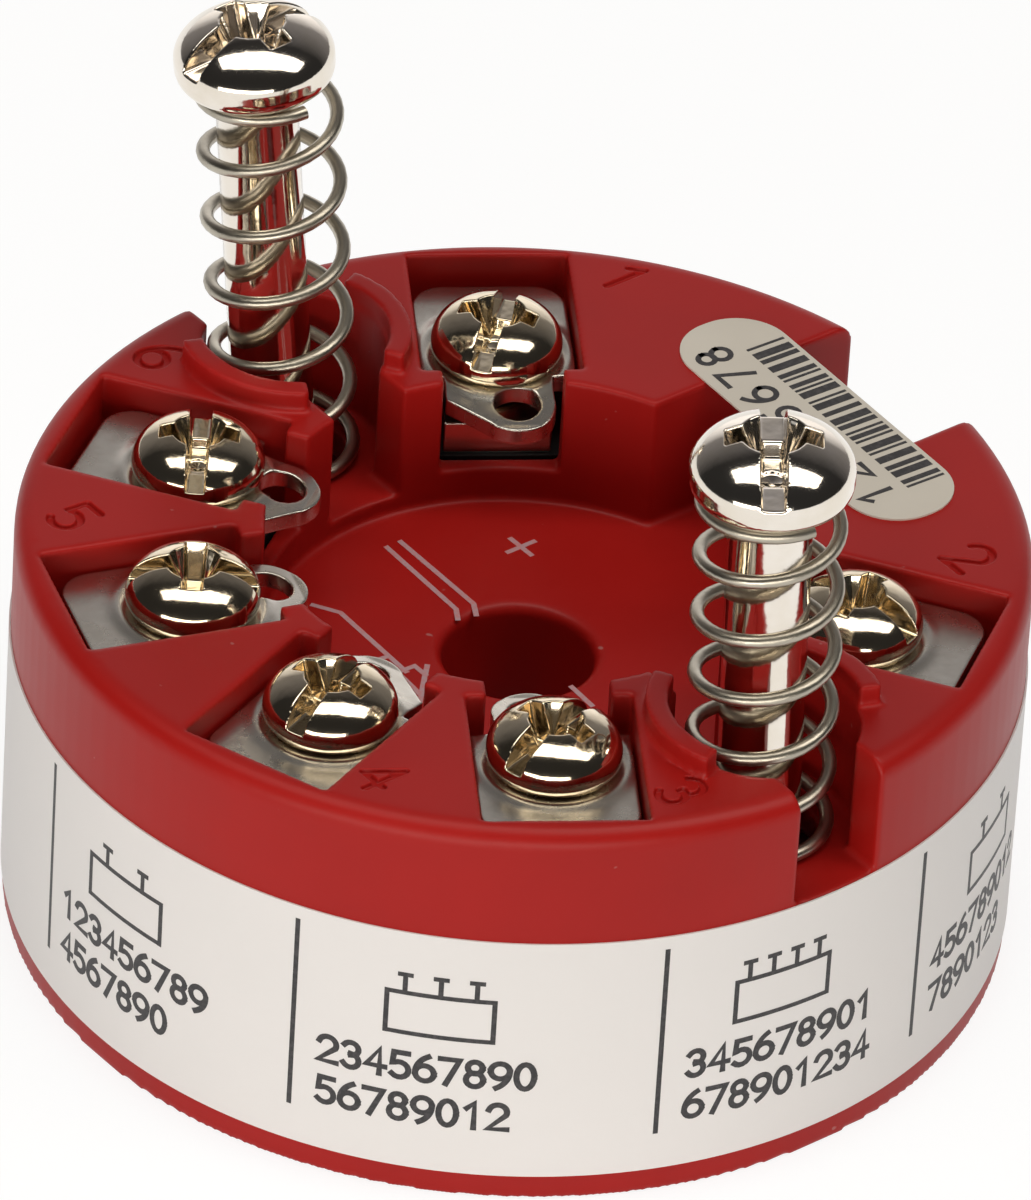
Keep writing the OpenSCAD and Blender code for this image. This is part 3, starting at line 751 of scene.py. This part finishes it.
def screw_head(name, r, h, side, fullness, floor, voxel):
    """A head standing on z = 0 with a low side, a dome, a through slot, a cross and a pit.

    Side and floor are shares of the height: where the dome starts and where the slot ends. Fullness is the
    dome's exponent: 2 is an ellipse, more is flatter on top.
    """
    rim_z = side * h
    profile = [(0, 0), (0.90 * r, 0), (0.95 * r, 0.05 * h), (0.985 * r, 0.12 * h), (r, 0.20 * h), (r, rim_z)]
    for k in range(1, 24):
        a = radians(90 * k / 24)
        profile.append((r * cos(a) ** (2 / fullness), rim_z + (h - rim_z) * sin(a) ** (2 / fullness)))
    profile.append((0, h))
    head = lathe(name, profile)
    slot_w, cross_w = 0.31 * r, 0.31 * r
    over = 1.2 * h
    cross_l, cross_low, cross_floor = 1.40 * r, 0.80 * r, 0.18 * h
    pit = [(0, 0.1 * h), (0.15 * r, 0.14 * h), (0.50 * r, over), (0, over + 0.01 * h)]
    slot = block("slot_cutter", (2.4 * r, slot_w * 0.95), (2.4 * r, slot_w * 1.1), floor * h, over)
    cross = block("cross_cutter", (cross_w * 0.8, cross_low), (cross_w * 1.15, cross_l), cross_floor, over)
    blade = block("blade_cutter", (cross_low, cross_w * 0.8), (cross_l, cross_w * 1.15), cross_floor, over)
    cutters = [slot, cross, blade, lathe("pit_cutter", pit, 24)]
    cut(head, cutters)
    return soften(head, voxel, 3, 1.0)


def joined(name, parts):
    """One piece from several, with the meshes left as they are."""
    verts, faces, offset = [], [], 0
    for part in parts:
        mesh = part.data
        co = np.zeros(len(mesh.vertices) * 3)
        mesh.vertices.foreach_get("co", co)
        verts += [tuple(v) for v in co.reshape(-1, 3)]
        faces += [tuple(v + offset for v in face.vertices) for face in mesh.polygons]
        offset = len(verts)
        bpy.data.objects.remove(part)
    piece = grown(name, verts, faces)
    piece.data.shade_smooth()
    return piece


def threaded_rod(name, r, pitch, low, high, count=36):
    """A rod from low to high whose surface rises and falls along a helix, with a cone at its tip."""
    depth = 0.3 * pitch
    steps = int((high - low) / pitch * 8)
    verts, faces = [(0, 0, low)], []
    for i in range(steps + 1):
        z = low + (high - low) * i / steps
        taper = min((z - low) / (0.8 * pitch), 1)
        for k in range(count):
            a = 2 * pi * k / count
            phase = (z / pitch - a / (2 * pi)) % 1.0
            radius = r - depth * abs(2 * phase - 1)
            radius *= 0.78 + 0.22 * taper
            verts.append((radius * cos(a), radius * sin(a), z))
    verts.append((0, 0, high))
    faces += [(0, 1 + (k + 1) % count, 1 + k) for k in range(count)]
    for i in range(steps):
        a = 1 + i * count
        faces += [(a + k, a + (k + 1) % count, a + count + (k + 1) % count, a + count + k)
                  for k in range(count)]
    last = 1 + steps * count
    faces += [(last + k, last + (k + 1) % count, len(verts) - 1) for k in range(count)]
    return grown(name, verts, faces)


screw_nickel = plated("screw_nickel", (0.80, 0.70, 0.54), (0.68, 0.58, 0.41), 0.11, 0.24, 0.03)
terminal_slots = [-52, 20, 104, 110, 50, -40]
head_r, head_h = 2.9 * mm, 2.4 * mm
thread_r, thread_pitch, thread_l = 1.5 * mm, 0.5 * mm, 7.0 * mm
for n, (angle, slot_angle) in enumerate(zip(terminal_angles, terminal_slots), 1):
    parts = [screw_head("head", head_r, head_h, 0.24, 2.2, 0.38, 0.75 * fine * mm),
             threaded_rod("thread", thread_r, thread_pitch, -thread_l, 0.02 * mm)]
    screw = joined(f"terminal_screw_plated_{n}", parts)
    way = radians(angle)
    spot = Vector((terminal_circle * cos(way), terminal_circle * sin(way), plate_top))
    screw.data.transform(Matrix.Translation(spot) @ Matrix.Rotation(radians(slot_angle), 4, "Z"))
    screw.data.materials.append(screw_nickel)
    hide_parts(f"terminal_screw_{n}")
    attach(screw, f"screw_{n}")

# The two mounting screws are M4 by 30, with the same heads in a larger size and a thinner plain shank.
# They hang loose in the housing, kept by a ring on the shank, and lean a little with their springs.
mounting_nickel = plated("mounting_nickel", (0.86, 0.80, 0.72), (0.78, 0.71, 0.60), 0.09, 0.10, 0.03)
mount_r, mount_h = 3.5 * mm, 3.1 * mm
mount_thread_r, mount_pitch = 2.0 * mm, 0.7 * mm
shank_r, shank_l = 1.8 * mm, 22.5 * mm
screw_l = 30 * mm
lap = 0.1 * mm


def leaning(side):
    """The matrix that stands a piece on a mounting screw's own axis, with z = 0 at its pivot."""
    axis = -Vector(joints[f"press_{side}"]["axis"])
    turn = Vector((0, 0, 1)).rotation_difference(axis).to_matrix().to_4x4()
    return Matrix.Translation(Vector(joints[f"drive_{side}"]["pos_m"])) @ turn


def head_height(side):
    """Height of a mounting screw's head over its pivot, along its own axis."""
    upright = leaning(side).inverted()
    return max((upright @ v.co).z for v in nodes[f"mounting_screw_{side}"].data.vertices) - mount_h


for side, slot_angle in (("left", 90), ("right", -38)):
    head_rise = head_height(side)
    thread_top = head_rise - shank_l
    tip = head_rise - screw_l
    head = screw_head("head", mount_r, mount_h, 0.36, 1.8, 0.42, fine * mm)
    head.data.transform(Matrix.Translation((0, 0, head_rise)) @ Matrix.Rotation(radians(slot_angle), 4, "Z"))
    shank = lathe("shank", [(0, thread_top - lap), (shank_r, thread_top - lap),
                            (shank_r, head_rise - 4 * lap),
                            (1.12 * shank_r, head_rise + lap / 2), (0, head_rise + lap / 2)])
    thread = threaded_rod("thread", mount_thread_r, mount_pitch, tip, thread_top)
    screw = joined(f"mounting_screw_plated_{side}", [head, shank, thread])
    screw.data.transform(leaning(side))
    screw.data.set_sharp_from_angle(angle=radians(50))
    screw.data.materials.append(mounting_nickel)
    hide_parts(f"mounting_screw_{side}")
    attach(screw, f"mounting_{side}")

# The springs are wound from drawn steel wire. Their turns lie level on the seat and tilt with the screw.
# Each stands round its screw's shank, along the screw's axis up to just under its head.
wire_r = 0.31 * mm
coil_r = 3.25 * mm - wire_r
turns = 6.2
ease = 0.35
seat_half = 0.7 * mm
first_angle = radians(-39.8 - 36)
seat_z = 13.6 * mm
spring_steel = plated("spring_steel", (0.50, 0.46, 0.38), (0.38, 0.345, 0.28), 0.34, 0.05, 0.35)


def climb_share(t):
    """How far up its spring the wire is after t turns: level at both ends, with full pitch between."""
    level_turns = turns - 2 * ease
    if t < 2 * ease:
        return t * t / (4 * ease * level_turns)
    if t > level_turns:
        return 1 - (turns - t) ** 2 / (4 * ease * level_turns)
    return (t - ease) / level_turns


for side, x, shift in (("left", -16.5 * mm, 0.1 * mm), ("right", 16.5 * mm, 0.0)):
    axis = -Vector(joints[f"press_{side}"]["axis"])
    lean = Vector((0, 0, 1)).angle(axis)
    over = Vector((axis.x, axis.y, 0)).normalized()
    hinge = Vector((0, 0, 1)).cross(over)
    seat = Vector((x, 0, seat_z)) + over * shift
    stand = head_height(side) - seat_half
    rings, sides = int(turns * 36), 16
    verts, faces = [], []
    for i in range(rings + 1):
        t = turns * i / rings
        a = first_angle + 2 * pi * t
        share = climb_share(t)
        h = share * (stand - 2 * wire_r)
        tilt = Matrix.Rotation(lean * share, 3, hinge)
        for k in range(sides):
            b = 2 * pi * k / sides
            out = coil_r + wire_r * cos(b)
            ring_point = Vector((out * cos(a), out * sin(a), wire_r * sin(b)))
            verts.append(seat + axis * (h + wire_r) + tilt @ ring_point)
    for i in range(rings):
        for k in range(sides):
            a, b = i * sides + k, i * sides + (k + 1) % sides
            faces.append((a, a + sides, b + sides, b))
    faces.append(tuple(range(sides)))
    faces.append(tuple(rings * sides + k for k in range(sides - 1, -1, -1)))
    spring = grown(f"spring_wire_{side}", verts, faces)
    spring.data.shade_smooth()
    spring.data.set_sharp_from_angle(angle=radians(60))
    spring.data.materials.append(spring_steel)
    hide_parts(f"spring_{side}")
    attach(spring, "base")
    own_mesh(spring)

# What sits inside keeps its CAD shape: black moulded carriers, turned brass bushes, stamped retaining rings
# and the circuit board with its parts, which hangs on the base cover's posts.
inside = {
    "carrier_black": painted("carrier_black", (0.012, 0.012, 0.013), (0.02, 0.02, 0.021), 0.5, 0.3),
    "board_green": painted("board_green", (0.015, 0.12, 0.04), (0.02, 0.16, 0.055), 0.3, 0.1, 300.0),
    "transformer_tape": painted("transformer_tape", (0.55, 0.38, 0.05), (0.65, 0.46, 0.08), 0.35, 0.1),
    "chip_black": painted("chip_black", (0.018, 0.018, 0.02), (0.028, 0.028, 0.03), 0.55, 0.3),
    "can_aluminium": plated("can_aluminium", (0.78, 0.78, 0.79), (0.66, 0.66, 0.68), 0.3, 0.05, 0.3),
    "bush_brass": plated("bush_brass", (0.72, 0.53, 0.24), (0.55, 0.38, 0.15), 0.25, 0.05, 0.3),
    "ring_steel": plated("ring_steel", (0.52, 0.51, 0.49), (0.40, 0.39, 0.37), 0.35, 0.05, 0.3),
}
for entry in frame["record"]["subparts"]:
    finish = inside.get(entry["material_slot"])
    if finish:
        nodes[entry["node"]].data.materials.clear()
        nodes[entry["node"]].data.materials.append(finish)
